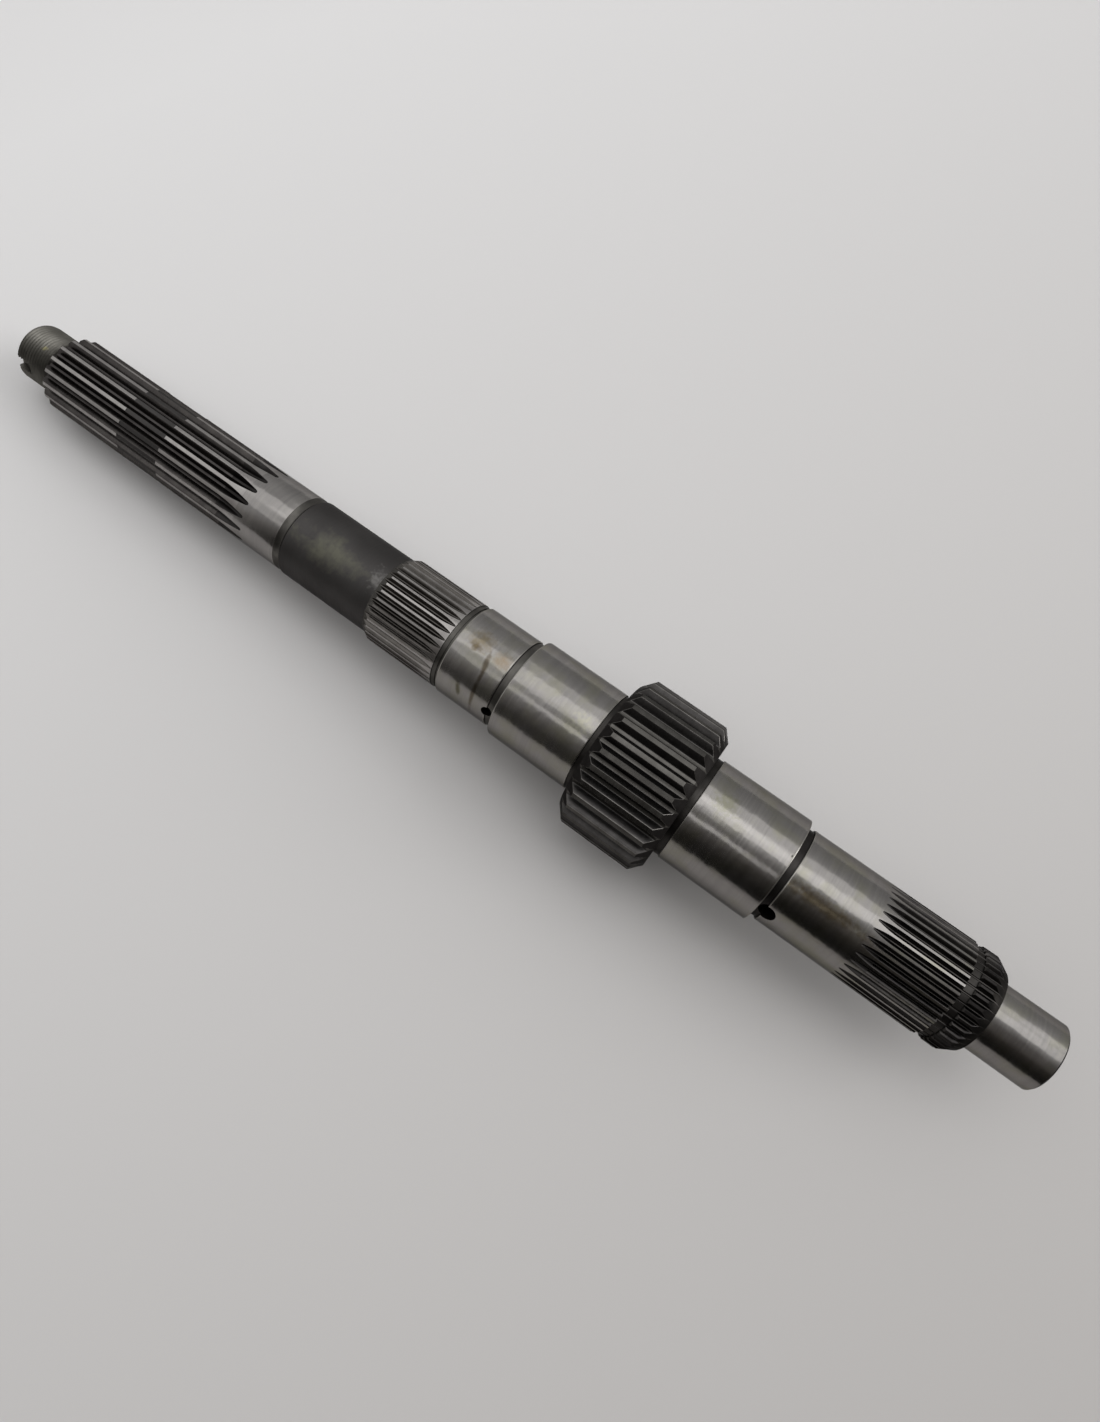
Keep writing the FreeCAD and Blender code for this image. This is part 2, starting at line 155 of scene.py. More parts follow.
def spaceProfile(teeth):
    # Half a space at full depth: distance from its middle, and height over its floor.
    tip, root = teeth["tipRadius"], teeth["tipRadius"] - teeth["height"]
    gap = math.pi * tip / teeth["count"] - teeth["land"] / 2
    low = np.array([teeth["floor"] / 2, 0.0])
    high = np.array([gap, math.sqrt(tip ** 2 - gap ** 2) - root])
    flank = (high - low) / np.linalg.norm(high - low)
    bend = math.acos(flank[0])
    reach = min(teeth["corner"] * math.tan(bend / 2), 0.9 * low[0])
    centre = np.array([low[0] - reach, reach / math.tan(bend / 2)])
    points = [np.zeros(2)]
    for step in range(4):
        swing = bend * step / 3
        points.append(centre + centre[1] * np.array([math.sin(swing), -math.cos(swing)]))
    start = points[-1]
    inward = np.array([-flank[1], flank[0]])
    for step in range(1, teeth["flankPoints"] + 1):
        part = step / teeth["flankPoints"]
        points.append(start + (high - start) * part + inward * teeth["bow"] * 4 * part * (1 - part))
    # One point beyond the tip, so that the edge of the land can be found on the flank's line.
    points.append(high + flank * 0.6)
    return np.array(points).T


def toothedRing(shaft, teeth, station, outer):
    # One ring all round the shaft, where the blank has the radius outer.
    width, height = spaceProfile(teeth)
    root = teeth["tipRadius"] - teeth["height"]
    lift = max(0.0, (station - teeth["hobStation"]) * teeth["lifts"])
    hob = teeth["hobRadius"]
    level = root + hob - np.sqrt(np.maximum((hob - height) ** 2 - lift ** 2, 0)) if lift else root + height
    halfPitch = 180 / teeth["count"]
    if level[0] >= outer or lift > hob / 2:
        angle, radius, landTurn = np.zeros(len(width)), np.full(len(width), outer), 0.0
    else:
        radius, angle = np.hypot(width, level), np.degrees(np.arctan2(width, level))
        edge = min(teeth["edge"], (outer - level[0]) / 2)
        cut = radius > outer - edge
        landTurn = np.interp(outer, radius, angle) + math.degrees(0.6 * edge / outer)
        angle[cut] = np.interp(outer - edge, radius, angle)
        radius[cut] = outer - edge
    landTurns = landTurn + (halfPitch - landTurn) * np.arange(teeth["landPoints"]) / teeth["landPoints"]
    lands = np.full(len(landTurns), outer)
    halfTurns = np.concatenate([angle, landTurns])
    halfRadii = np.concatenate([radius, lands])
    turns = np.concatenate([[-halfPitch], -halfTurns[:0:-1], halfTurns])
    radii = np.concatenate([[outer], halfRadii[:0:-1], halfRadii])
    middles = teeth["phase"] + halfPitch * (2 * np.arange(teeth["count"]) + 1)
    return shaft.addRing(station, (middles[:, None] + turns).ravel(), np.tile(radii, teeth["count"]))


def toothFinishes(teeth, land, edge, space, floor):
    # The names for the faces from each column of a toothed ring to the next.
    landNames = [land] * teeth["landPoints"]
    spaceNames = [floor] * 2 + [space] * (teeth["flankPoints"] + 3)
    half = spaceNames + [edge] + landNames
    return (half[::-1] + half) * teeth["count"]


def toothedLength(shaft, teeth, rows, space="hobbedSteel", edge="hobbedSteel", floor="hobbedFloor",
                  lifted="runoutAndShadeSteel"):
    # rows are the stations in order, each with the blank's radius and the finish of the land up to the next.
    # Where the hob lifts out, the space has the finish named lifted.
    first = last = None
    for station, outer, land in rows:
        ring = toothedRing(shaft, teeth, station, outer)
        if last:
            lifting = (station - teeth["hobStation"]) * teeth["lifts"] > 0
            names = (lifted, lifted, lifted) if lifting else (edge, space, floor)
            shaft.joinRings(last, ring, toothFinishes(teeth, finish, *names))
        first, last, finish = first or ring, ring, land
    return first, last


def runoutRows(teeth, outer, land):
    # Stations from the hob's lowest place to where it leaves the metal, closer together near the tips.
    hob = teeth["hobRadius"]
    reach = math.sqrt(hob ** 2 - (hob - teeth["height"]) ** 2)
    parts = np.sin(np.linspace(0, math.pi / 2, 17))
    rows = [(teeth["hobStation"] + teeth["lifts"] * reach * part, outer, land) for part in parts]
    return rows[::teeth["lifts"]]


# Thread: rows follow the helix, so a row comes back to itself one pitch further on.
thread = {
    "length": 22.7, "outerRadius": 13.0, "pitch": 1.5, "depth": 0.92, "chamfer": 1.4, "fadeStart": 19.4,
    "fadeEnd": 21.4, "columns": 120, "rowsPerPitch": 8, "centreConeRadius": 3.75, "centreHoleRadius": 1.6,
    "centreHoleDepth": 7.5,
}


def threadRadius(station, turn):
    pitch = thread["pitch"]
    phase = ((station - pitch * turn / 360) / pitch) % 1
    # A straight flank between narrow flats at the crest and the root.
    flank = np.clip(np.abs(phase - 0.5) * 2 * 1.25 - 0.12, 0, 1)
    fade = np.clip((thread["fadeEnd"] - station) / (thread["fadeEnd"] - thread["fadeStart"]), 0, 1)
    cut = thread["outerRadius"] - thread["depth"] * flank * fade
    return np.minimum(cut, thread["outerRadius"] - np.maximum(thread["chamfer"] - station, 0))


def buildThread(shaft):
    columns, steps = thread["columns"], thread["rowsPerPitch"]
    turns = np.arange(columns) * 360 / columns
    pitch, length = thread["pitch"], thread["length"]
    rowCount = math.ceil(length / pitch * steps) + steps + 1
    first = shaft.count
    for row in range(-steps, rowCount - steps):
        stations = np.clip(row * pitch / steps + pitch * turns / 360, 0, length)
        shaft.addRing(stations, turns, threadRadius(stations, turns))
    for row in range(rowCount - 1):
        for column in range(columns):
            low, high = first + row * columns + column, first + (row + 1) * columns + column
            if column < columns - 1:
                face = (low, low + 1, high + 1, high)
            else:
                wrapped = [first + min(row + steps + more, rowCount - 1) * columns for more in (0, 1)]
                face = (low, wrapped[0], wrapped[1], high)
            shaft.faces.append(face)
            shaft.finishes.append("threadSteel")
    endFace = shaft.addRing(0, turns, threadRadius(np.zeros(columns), turns))
    inner = length * np.ones(columns)
    return endFace, shaft.addRing(length, turns, threadRadius(inner, turns))


def plainRing(shaft, station, radius, columns=120):
    return shaft.addRing(station, np.arange(columns) * 360 / columns, np.full(columns, radius))


shaft = ShaftMesh()
endFace, threadFoot = buildThread(shaft)
drill = thread["centreHoleRadius"]
coneDepth = (thread["centreConeRadius"] - drill) * math.sqrt(3)
last = plainRing(shaft, 0, thread["centreConeRadius"])
shaft.joinRings(endFace, last, "turnedSteel")
for station in (coneDepth, thread["centreHoleDepth"]):
    ring = plainRing(shaft, station, drill)
    shaft.joinRings(last, ring, "drilledSteel")
    last = ring
shaft.closeRing(last, thread["centreHoleDepth"] + 0.6 * drill, "drilledSteel")
print("thread built")

# Long spline and first journal. A band in the spline's middle is turned a little smaller.
front = {
    "start": 22.2, "radius": 17.5, "startChamfer": 1.2, "bandStart": 68.3, "bandEnd": 91.4, "bandDepth": 0.2,
    "journalEnd": 158.5, "journalEdge": 0.4, "journalDrop": 0.15, "bandSlope": 0.15, "neckStart": 160.3,
    "neckRadius": 16.9, "neckMiddle": 161.0, "shoulderRadius": 14.0,
}
full, band = front["radius"], front["radius"] - front["bandDepth"]
rows = [
    (front["start"], full - front["startChamfer"], "turnedSteel"),
    (front["start"] + front["startChamfer"], full, "landSteel"),
    (front["bandStart"], full, "darkTurnedSteel"),
    (front["bandStart"] + front["bandSlope"], band, "darkTurnedSteel"),
    (front["bandEnd"] - front["bandSlope"], band, "darkTurnedSteel"),
    (front["bandEnd"], full, "landSteel"),
]
# The lands turn into the journal part way along the run-outs.
landRows = 8
rows += runoutRows(longSpline, full, "landSteel")[:landRows]
rows += runoutRows(longSpline, full, "groundSteel")[landRows:]
rows += [
    (front["journalEnd"] - front["journalEdge"], full, "turnedSteel"),
    (front["journalEnd"], full - front["journalDrop"], "turnedSteel"),
    (front["neckStart"], front["neckRadius"], "turnedSteel"),
    (front["neckMiddle"], front["neckRadius"], "neckShadeSteel"),
]
first, last = toothedLength(shaft, longSpline, rows)
shoulder = shaft.addRing(front["start"], first[1], np.full(len(first[1]), front["shoulderRadius"]))
shaft.joinRings(shoulder, first, "turnedSteel")
shaft.zipRings(threadFoot, shoulder, "turnedSteel")
print("long spline built")

# Dark turned length, fine spline and the second and third journals, with narrow necks between them.
middle = {
    "plainStart": 161.6, "plainRadius": 17.85, "splineStart": 207.4, "leadRadius": 18.0, "leadEnd": 210.3,
    "splineRadius": 19.6, "splineEnd": 243.6, "bandRadius": 19.25, "bandEnd": 245.4, "neckRadius": 18.9,
    "twoStart": 246.5, "twoEnd": 271.0, "twoRadius": 20.0, "neckThreeRadius": 19.5, "threeStart": 274.3,
    "threeEnd": 311.6, "threeRadius": 21.95, "neckFourRadius": 21.4, "hubStart": 314.3, "edge": 0.4,
    "plainChamfer": 0.5, "splineEdge": 0.1, "neckThreeShade": (0.3, 0.6), "boreRing": 22.6,
}


def leadRows(start, startRadius, end, endRadius, root, land):
    # A chamfer across tooth ends, with a row where it crosses the floor of the spaces.
    crossing = start + (root + 0.01 - startRadius) / (endRadius - startRadius) * (end - start)
    parts = [0.0, 0.06, 0.16, 0.3, 0.5, 0.75, 1.0]
    rows = [(start, startRadius, land)]
    for part in parts:
        station = crossing + (end - crossing) * part
        share = (station - start) / (end - start)
        rows.append((station, startRadius + (endRadius - startRadius) * share, land))
    return rows


def journalRows(start, end, radius, edge):
    # A ground cylinder with both edges broken by a small rounded chamfer. The guard rows just inside the
    # chamfers keep the cylinder's own shading straight.
    guard, corner = 0.3, edge * 0.3
    low, half = radius - edge, radius - corner
    # The chamfers are painted lighter than the journal, a painted highlight along its edges.
    rows = [(start, low, "brokenEdgeHighlight"), (start + corner, half, "brokenEdgeHighlight")]
    rows += [(start + edge, radius, "groundSteel"), (start + edge + guard, radius, "groundSteel")]
    rows += [(end - edge - guard, radius, "groundSteel"), (end - edge, radius, "brokenEdgeHighlight")]
    return rows + [(end - corner, half, "brokenEdgeHighlight"), (end, low, "neckShadeSteel")]


# The neck by the dark length is painted shade: the dark neck finish on its floor and chamfer, and the dark
# run-out finish on its wall.
rows = [
    (front["neckMiddle"], front["neckRadius"], "neckShadeSteel"),
    (middle["plainStart"], front["neckRadius"], "runoutAndShadeSteel"),
    (middle["plainStart"], middle["plainRadius"] - middle["plainChamfer"], "neckShadeSteel"),
    (middle["plainStart"] + middle["plainChamfer"], middle["plainRadius"], "darkTurnedSteel"),
    (middle["splineStart"], middle["plainRadius"], "darkTurnedSteel"),
]
middleRoot = middleSpline["tipRadius"] - middleSpline["height"]
rows += leadRows(middle["splineStart"], middle["leadRadius"], middle["leadEnd"], middle["splineRadius"],
                 middleRoot, "turnedSteel")[:-1]
rows += [(middle["leadEnd"], middle["splineRadius"], "landSteel")]
rows += runoutRows(middleSpline, middle["splineRadius"], "landSteel")
rows += [
    (middle["splineEnd"] - middle["splineEdge"], middle["splineRadius"], "turnedSteel"),
    (middle["splineEnd"], middle["bandRadius"], "turnedSteel"),
    (middle["bandEnd"], middle["bandRadius"], "turnedSteel"),
    (middle["bandEnd"], middle["neckRadius"], "turnedSteel"),
    (middle["twoStart"], middle["neckRadius"], "turnedSteel"),
]
rows += journalRows(middle["twoStart"], middle["twoEnd"], middle["twoRadius"], middle["edge"])
# Neck three: its two ends take the dark run-out finish as painted shade in its corners.
rows += [
    (middle["twoEnd"], middle["neckThreeRadius"], "runoutAndShadeSteel"),
    (middle["twoEnd"] + middle["neckThreeShade"][0], middle["neckThreeRadius"], "turnedSteel"),
    (middle["threeStart"] - middle["neckThreeShade"][1], middle["neckThreeRadius"], "runoutAndShadeSteel"),
    (middle["threeStart"], middle["neckThreeRadius"], "runoutAndShadeSteel"),
]
rows += journalRows(middle["threeStart"], middle["threeEnd"], middle["threeRadius"], middle["edge"])
rows += [
    (middle["threeEnd"], middle["neckFourRadius"], "neckShadeSteel"),
    (middle["hubStart"], middle["neckFourRadius"], "hubFace"),
    (middle["hubStart"], middle["boreRing"], "hubFace"),
]
first, hubNear = toothedLength(shaft, middleSpline, rows, "fineFlank", "fineFlank", "fineFlank", "fineFlank")
shaft.zipRings(last, first, "neckShadeSteel")
print("middle lengths built")

# Hub with chamfered tooth ends, cut right through.
hub = {"start": 314.3, "end": 353.5, "faceRadius": 28.3, "radius": 33.1, "chamfer": 4.1, "boreRing": 22.6,
       "faceRing": 23.6}
hubRoot = hubTeeth["tipRadius"] - hubTeeth["height"]
lead = leadRows(hub["start"], hub["faceRadius"], hub["start"] + hub["chamfer"], hub["radius"], hubRoot,
                "hubFace")
trail = [(hub["start"] + hub["end"] - station, outer, land) for station, outer, land in lead[::-1]]
lead[-1] = lead[-1][:2] + ("hubSteel",)
rows = [(hub["start"], hub["faceRing"], "hubFace")] + lead + trail
rows += [(hub["end"], hub["faceRing"], "hubFace")]
# The hub's flanks take painted shade, and its tooth edges a painted highlight.
first, last = toothedLength(shaft, hubTeeth, rows, "hubFlankShade", "hubEdgeHighlight", "hubSteel")
shaft.zipRings(hubNear, first, "hubFace")
print("hub built")

# Fourth and fifth journals, end spline with its ring groove, end taper, pilot and oil gallery.
rear = {
    "neckFiveRadius": 21.7, "fourStart": 355.9, "fourEnd": 394.8, "fourRadius": 22.3, "neckSixRadius": 19.2,
    "fiveStart": 397.8, "radius": 20.0, "grooveStart": 464.6, "grooveEnd": 468.0, "grooveRadius": 18.85,
    "tailEdge": 0.6, "taperStart": 473.3, "taperRadius": 17.1, "pilotStart": 478.2, "pilotRadius": 13.65,
    "pilotChamfer": 0.7, "end": 505.1, "edge": 0.4, "galleryRadius": 4.5, "mouthRadius": 7.0,
    "galleryEnd": 262.2, "grooveEdge": 0.15,
}
mouthDepth = (rear["mouthRadius"] - rear["galleryRadius"]) * math.sqrt(3)
rows = [
    (hub["end"], hub["boreRing"], "hubFace"),
    (hub["end"], rear["neckFiveRadius"], "neckShadeSteel"),
    (rear["fourStart"], rear["neckFiveRadius"], "neckShadeSteel"),
]
rows += journalRows(rear["fourStart"], rear["fourEnd"], rear["fourRadius"], rear["edge"])
# The neck between the fourth and fifth journals takes the dark run-out finish as painted shade on its floor
# and wall.
rows += [
    (rear["fourEnd"], rear["neckSixRadius"], "runoutAndShadeSteel"),
    (rear["fiveStart"], rear["neckSixRadius"], "runoutAndShadeSteel"),
]
# The fifth journal runs on into the lands of the end spline, so only the rows of its first edge are used.
rows += journalRows(rear["fiveStart"], rear["grooveStart"], rear["radius"], rear["edge"])[:4]
rows += runoutRows(endSpline, rear["radius"], "groundSteel")
rows += [
    (rear["grooveStart"] - rear["grooveEdge"], rear["radius"], "brokenEdgeHighlight"),
    (rear["grooveStart"], rear["radius"] - rear["grooveEdge"], "neckShadeSteel"),
    (rear["grooveStart"], rear["grooveRadius"], "neckShadeSteel"),
    (rear["grooveEnd"], rear["grooveRadius"], "neckShadeSteel"),
    (rear["grooveEnd"], rear["radius"] - rear["tailEdge"], "neckShadeSteel"),
    (rear["grooveEnd"] + rear["tailEdge"], rear["radius"], "runoutAndShadeSteel"),
]
endRoot = endSpline["tipRadius"] - endSpline["height"]
taper = leadRows(rear["pilotStart"], rear["taperRadius"], rear["taperStart"], rear["radius"], endRoot,
                 "drilledSteel")
rows += taper[::-1]
rows += [
    (rear["pilotStart"], rear["pilotRadius"], "groundSteel"),
    (rear["end"] - rear["pilotChamfer"], rear["pilotRadius"], "neckShadeSteel"),
    (rear["end"], rear["pilotRadius"] - rear["pilotChamfer"], "turnedSteel"),
    (rear["end"], rear["mouthRadius"], "drilledSteel"),
    (rear["end"] - mouthDepth, rear["galleryRadius"], "drilledSteel"),
    (rear["galleryEnd"], rear["galleryRadius"], "drilledSteel"),
]
first, gallery = toothedLength(shaft, endSpline, rows, "endFlank", "endFlank", "endFloor")
shaft.closeRing(gallery, rear["galleryEnd"] - 0.6 * rear["galleryRadius"], "drilledSteel")
shaft.zipRings(last, first, "hubFace")
print("rear lengths built,", len(shaft.faces), "faces before clean-up")

finishOrder = [
    "groundSteel", "landSteel", "turnedSteel", "darkTurnedSteel", "neckShadeSteel", "hobbedSteel", "hobbedFloor",
    "fineFlank", "endFlank", "endFloor", "hubSteel", "hubFlankShade", "hubFace", "hubEdgeHighlight", "runoutAndShadeSteel",
    "brokenEdgeHighlight", "threadSteel", "drilledSteel",
]
outputShaft = shaft.makeObject("outputShaft", finishOrder)

# The staking slot and the two oil holes are cut into the finished mesh.
cuts = {
    "turn": -65.0, "slotWidth": 5.0, "slotDepth": 3.3, "slotRadius": 16.0,
    "holes": ({"station": 271.2, "radius": 2.3, "reach": 21}, {"station": 398.9, "radius": 3.5, "reach": 23}),
}


def makeCutter(name, station, height, radius, length, axis, finish):
    # A round cutter about the given axis, at the given height over the shaft's line.
    mesh = bpy.data.meshes.new(name)
    work = bmesh.new()
    bmesh.ops.create_cone(work, cap_ends=True, segments=96, radius1=radius * mm, radius2=radius * mm,
                          depth=length * mm)
    work.to_mesh(mesh)
    work.free()
    mesh.polygons.foreach_set("material_index", [finishOrder.index(finish)] * len(mesh.polygons))
    cutter = bpy.data.objects.new(name, mesh)
    bpy.context.scene.collection.objects.link(cutter)
    centre = Vector(placePoints(np.array([station]), np.array([cuts["turn"]]), np.array([height]))[0])
    cutter.matrix_world = Matrix.Translation(centre) @ axis.to_track_quat("Z", "Y").to_matrix().to_4x4()
    return cutter


cutTurn = math.radians(cuts["turn"])
outwards = upward * math.cos(cutTurn) + across * math.sin(cutTurn)
slotHeight = thread["outerRadius"] - cuts["slotDepth"] + cuts["slotRadius"]
cutters = [makeCutter("slotCutter", 0, slotHeight, cuts["slotRadius"], cuts["slotWidth"],
                      along.cross(outwards), "threadSteel")]
for number, hole in enumerate(cuts["holes"]):
    cutters.append(makeCutter("oilDrill%d" % number, hole["station"], hole["reach"] / 2, hole["radius"],
                              hole["reach"], outwards, "drilledSteel"))
print("mesh made")


def linearColour(text):
    # sRGB hex to the linear colour that the shaders take.
    channels = [int(text[place:place + 2], 16) / 255 for place in (1, 3, 5)]
    return [c / 12.92 if c <= 0.04045 else ((c + 0.055) / 1.055) ** 2.4 for c in channels] + [1.0]


def addNode(tree, kind, inputs=None, stops=None, **settings):
    # One node with its settings, its values and links by socket, and its ramp stops.
    node = tree.nodes.new("ShaderNode" + kind)
    for name, value in settings.items():
        setattr(node, name, value)
    for socket, value in (inputs or {}).items():
        if isinstance(value, bpy.types.NodeSocket):
            tree.links.new(value, node.inputs[socket])
        else:
            node.inputs[socket].default_value = value
    for number, (place, colour) in enumerate(stops or []):
        element = node.color_ramp.elements[number] if number < 2 else node.color_ramp.elements.new(place)
        element.position = place
        element.color = linearColour(colour)
    return node


def startMaterial(name):
    made = bpy.data.materials.new(name)
    made.use_nodes = True
    made.node_tree.nodes.clear()
    return made, made.node_tree


def shaftPlace(tree):
    # The shaft's own axes in millimetres, and the same place unrolled as station, turn in degrees and radius.
    axes = Matrix((along, across, upward)).transposed().to_euler()
    place = addNode(tree, "Mapping", {
        "Vector": addNode(tree, "TexCoord").outputs["Object"], "Location": shaftStart, "Rotation": axes,
        "Scale": (mm, mm, mm),
    }, vector_type="TEXTURE").outputs[0]
    parts = addNode(tree, "SeparateXYZ", {0: place}).outputs
    angle = addNode(tree, "Math", {0: parts[1], 1: parts[2]}, operation="ARCTAN2").outputs[0]
    turn = addNode(tree, "Math", {0: angle, 1: math.degrees(1)}, operation="MULTIPLY").outputs[0]
    side = addNode(tree, "VectorMath", {0: place, 1: (0, 1, 1)}, operation="MULTIPLY").outputs[0]
    radius = addNode(tree, "VectorMath", {0: side}, operation="LENGTH").outputs["Value"]
    unrolled = addNode(tree, "CombineXYZ", {0: parts[0], 1: turn, 2: radius}).outputs[0]
    return place, unrolled


grazingTint = "#b6b6b6"


def steelShader(tree, colour, roughness, normal, anisotropic):
    # Bare steel: the tangent runs along the shaft, because the marks of turning and grinding run round it.
    # grazingTint holds the reflection at grazing angles down.
    inputs = {"Base Color": colour, "Roughness": roughness, "Metallic": 1.0, "Anisotropic": anisotropic,
              "Specular Tint": linearColour(grazingTint), "Normal": normal}
    if anisotropic:
        inputs["Tangent"] = addNode(tree, "CombineXYZ", {0: along[0], 1: along[1], 2: along[2]}).outputs[0]
    shader = addNode(tree, "BsdfPrincipled", inputs)
    addNode(tree, "OutputMaterial", {"Surface": shader.outputs[0]})


def blendColours(tree, value, span, colours, most=1.0):
    # From the first colour to the second while the value crosses the span.
    share = addNode(tree, "MapRange", {"Value": value, "From Min": span[0], "From Max": span[1],
                                       "To Max": most})
    colourA, colourB = (linearColour(colour) if isinstance(colour, str) else colour for colour in colours)
    inputs = {0: share.outputs[0], 6: colourA, 7: colourB}
    return addNode(tree, "Mix", inputs, data_type="RGBA").outputs[2]


def roundMarks(tree, unrolled, pitch, stretch):
    # Marks that run round the shaft: fine along it at the given pitch, long round it.
    inputs = {0: unrolled, 1: (1 / pitch, 1 / stretch, 0.9)}
    vector = addNode(tree, "VectorMath", inputs, operation="MULTIPLY").outputs[0]
    return addNode(tree, "TexNoise", {"Vector": vector, "Scale": 1.0, "Detail": 3.0}).outputs[0]


def addStains(tree, place, unrolled, colour, stains):
    # Stains with ragged soft edges. slope leans one along the shaft, in millimetres for each degree.
    fine, coarse = [addNode(tree, "Math", {
        0: addNode(tree, "TexNoise", {"Vector": place, "Scale": 1 / size, "Detail": 4.0}).outputs[0], 1: 0.5,
    }, operation="SUBTRACT").outputs[0] for size in (1.6, 6.5)] if stains else (None, None)
    for stain in stains:
        local = addNode(tree, "Mapping", {
            "Vector": unrolled, "Location": (stain["station"], stain["turn"], 0.0),
            "Rotation": (0, 0, -math.atan(stain.get("slope", 0.0))),
            "Scale": (stain["length"], stain["sweep"], 1e6),
        }, vector_type="TEXTURE").outputs[0]
        distance = addNode(tree, "VectorMath", {0: local}, operation="LENGTH").outputs["Value"]
        for noise, amount in ((fine, stain.get("ragged", 1.2)), (coarse, stain.get("uneven", 0.0))):
            if amount:
                inputs = {0: noise, 1: amount, 2: distance}
                distance = addNode(tree, "Math", inputs, operation="MULTIPLY_ADD").outputs[0]
        # The share falls as the distance grows, so the span runs backwards.
        span = (1.0, stain.get("core", 0.4))
        colour = blendColours(tree, distance, span, (colour, stain["colour"]), stain["strength"])
    return colour


# Ground alloy steel, hardened: a satin grey, with grinding marks round it that draw reflections out along it.
# Real grinding marks are finer than markPitch, too fine to show at this size.
ground = {
    "colour": "#918e8b", "dark": "#888583", "olive": "#898777", "roughness": 0.19, "anisotropic": 0.65,
    "markPitch": 0.8, "bandPitch": 3.1, "cloudSize": 9.0, "bump": 0.025, "bumpDepth": 0.003, "swellSize": 8.0,
    "swellDepth": 0.17, "bandShare": 0.4, "markStretch": 70.0, "bandStretch": 150.0,
    "filmFrom": (150.0, 250.0),
    "stains": (
        # Second journal: a dark spot in a tan patch, a brown patch beside them, and three drips.
        {"station": 255.3, "turn": -5.5, "length": 3.0, "sweep": 6.5, "colour": "#4a3f2f", "strength": 0.8,
         "core": 0.35},
        {"station": 255.5, "turn": 4.0, "length": 6.5, "sweep": 17.0, "colour": "#766a50", "strength": 0.7,
         "core": 0.1},
        {"station": 267.0, "turn": -3.0, "length": 5.0, "sweep": 12.0, "colour": "#857460", "strength": 0.7,
         "core": 0.1},
        {"station": 262.3, "turn": -17.0, "length": 1.5, "sweep": 17.0, "slope": -0.066, "colour": "#4b402e",
         "strength": 0.75, "ragged": 0.6},
        {"station": 263.4, "turn": -52.0, "length": 1.2, "sweep": 36.0, "slope": -0.015, "colour": "#4b402e",
         "strength": 0.7, "ragged": 0.6},
        {"station": 257.0, "turn": -60.0, "length": 1.5, "sweep": 11.0, "slope": -0.085, "colour": "#4c4832",
         "strength": 0.75, "ragged": 0.8},
        # Third, fourth and fifth journals: two pale patches, a brown smear and a nick by the shoulder.
        {"station": 306.0, "turn": -9.0, "length": 6.0, "sweep": 16.0, "colour": "#9b9987", "strength": 0.6,
         "core": 0.0, "ragged": 2.2, "uneven": 1.2},
        {"station": 366.0, "turn": 8.0, "length": 7.0, "sweep": 13.0, "colour": "#7c7b68", "strength": 0.65,
         "core": 0.0, "ragged": 2.2, "uneven": 1.2},
        {"station": 413.0, "turn": -20.0, "length": 21.0, "sweep": 10.0, "colour": "#6a5f47", "strength": 0.8,
         "core": 0.3, "uneven": 0.8},
        {"station": 393.9, "turn": 2.2, "length": 0.5, "sweep": 1.6, "colour": "#2b2926", "strength": 0.9},
    ),
}


def groundSteel():
    made, tree = startMaterial("groundSteel")
    place, unrolled = shaftPlace(tree)
    marks = roundMarks(tree, unrolled, ground["markPitch"], ground["markStretch"])
    bands = roundMarks(tree, unrolled, ground["bandPitch"], ground["bandStretch"])
    both = addNode(tree, "Mix", {0: ground["bandShare"], 2: marks, 3: bands}).outputs[0]
    colour = blendColours(tree, both, (0.38, 0.62), (ground["dark"], ground["colour"]))
    # An oily, slightly olive film lies in patches on the lengths beyond the fine spline.
    clouds = addNode(tree, "TexNoise", {"Vector": place, "Scale": 1 / ground["cloudSize"],
                                        "Detail": 4.0}).outputs[0]
    filmed = blendColours(tree, clouds, (0.46, 0.7), (colour, ground["olive"]), 0.6)
    station = addNode(tree, "SeparateXYZ", {0: unrolled}).outputs[0]
    colour = blendColours(tree, station, ground["filmFrom"], (colour, filmed))
    colour = addStains(tree, place, unrolled, colour, ground["stains"])
    rough = addNode(tree, "MapRange", {"Value": marks, "From Min": 0.3, "From Max": 0.7,
                                       "To Min": ground["roughness"] - 0.01,
                                       "To Max": ground["roughness"] + 0.03})
    # Slow unevenness of the ground skin, which makes the edges of its reflections wander.
    swell = addNode(tree, "TexNoise", {"Vector": place, "Scale": 1 / ground["swellSize"],
                                       "Detail": 2.0}).outputs[0]
    bump = addNode(tree, "Bump", {"Height": swell, "Strength": 1.0,
                                  "Distance": ground["swellDepth"] * mm}).outputs[0]
    bump = addNode(tree, "Bump", {"Height": marks, "Strength": ground["bump"],
                                  "Distance": ground["bumpDepth"] * mm, "Normal": bump})
    steelShader(tree, colour, rough.outputs[0], bump.outputs[0], ground["anisotropic"])
    return made


